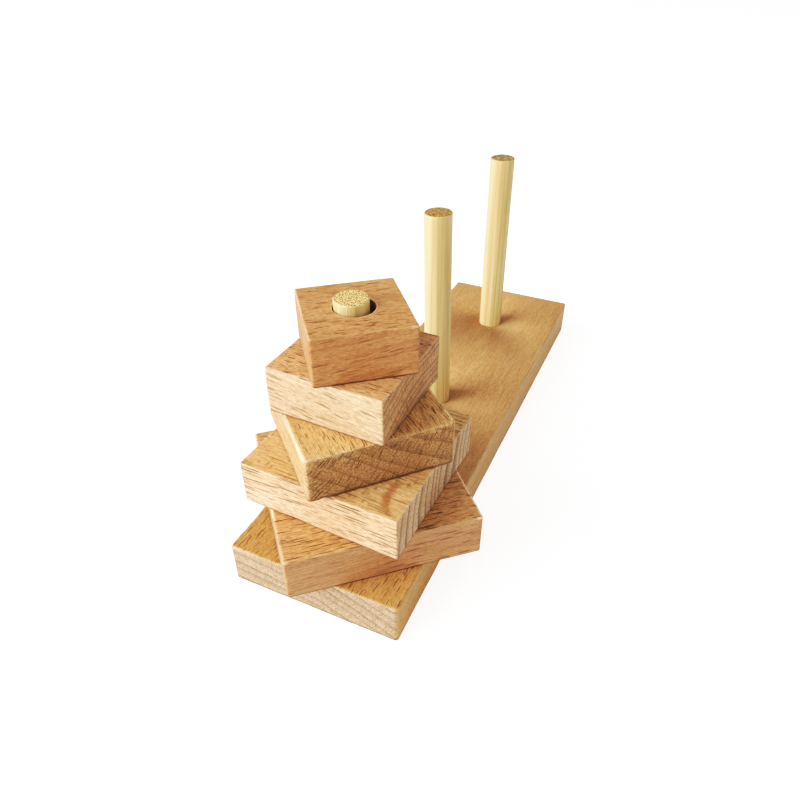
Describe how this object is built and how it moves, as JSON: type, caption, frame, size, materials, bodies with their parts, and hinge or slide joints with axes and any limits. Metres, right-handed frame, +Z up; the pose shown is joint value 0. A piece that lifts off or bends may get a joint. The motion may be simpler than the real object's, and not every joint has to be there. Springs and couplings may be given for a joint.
{
  "type": "tower of hanoi puzzle",
  "caption": "Wooden tower puzzle: a long flat base with upright round pegs, and a tapering stack of loose square blocks threaded on the end peg, each lifting off upward.",
  "frame": {"origin": "centre of the base's flat underside", "axes": "+Z is up, along the upright pegs; Y runs along the base's length, with the stack on the peg at the -Y end; +X is across the base"},
  "size_m": [0.0842, 0.211, 0.0926],
  "materials": {
    "base_wood": "bare sanded hardwood, warm tan with short dark flecks along the grain",
    "block_wood": "bare sanded hardwood with flecks on the long-grain faces and ring lines on the end-grain faces",
    "peg_bamboo": "bare bamboo dowel, pale yellow with fine lengthwise fibres and dotted end grain"
  },
  "bodies": {
    "base": {"base_board": "base_wood", "peg_front": "peg_bamboo", "peg_middle": "peg_bamboo", "peg_rear": "peg_bamboo"},
    "block_1": {"block_1": "block_wood"},
    "block_2": {"block_2": "block_wood"},
    "block_3": {"block_3": "block_wood"},
    "block_4": {"block_4": "block_wood"},
    "block_5": {"block_5": "block_wood"}
  },
  "joints": [
    {"name": "block_5_lift", "type": "slide", "parent": "base", "child": "block_5", "axis": [0, 0, 1], "range_m": [0, 0.081]},
    {"name": "block_4_lift", "type": "slide", "parent": "block_5", "child": "block_4", "axis": [0, 0, 1], "range_m": [0, 0.066]},
    {"name": "block_3_lift", "type": "slide", "parent": "block_4", "child": "block_3", "axis": [0, 0, 1], "range_m": [0, 0.051]},
    {"name": "block_2_lift", "type": "slide", "parent": "block_3", "child": "block_2", "axis": [0, 0, 1], "range_m": [0, 0.036]},
    {"name": "block_1_lift", "type": "slide", "parent": "block_2", "child": "block_1", "axis": [0, 0, 1], "range_m": [0, 0.021]}
  ]
}
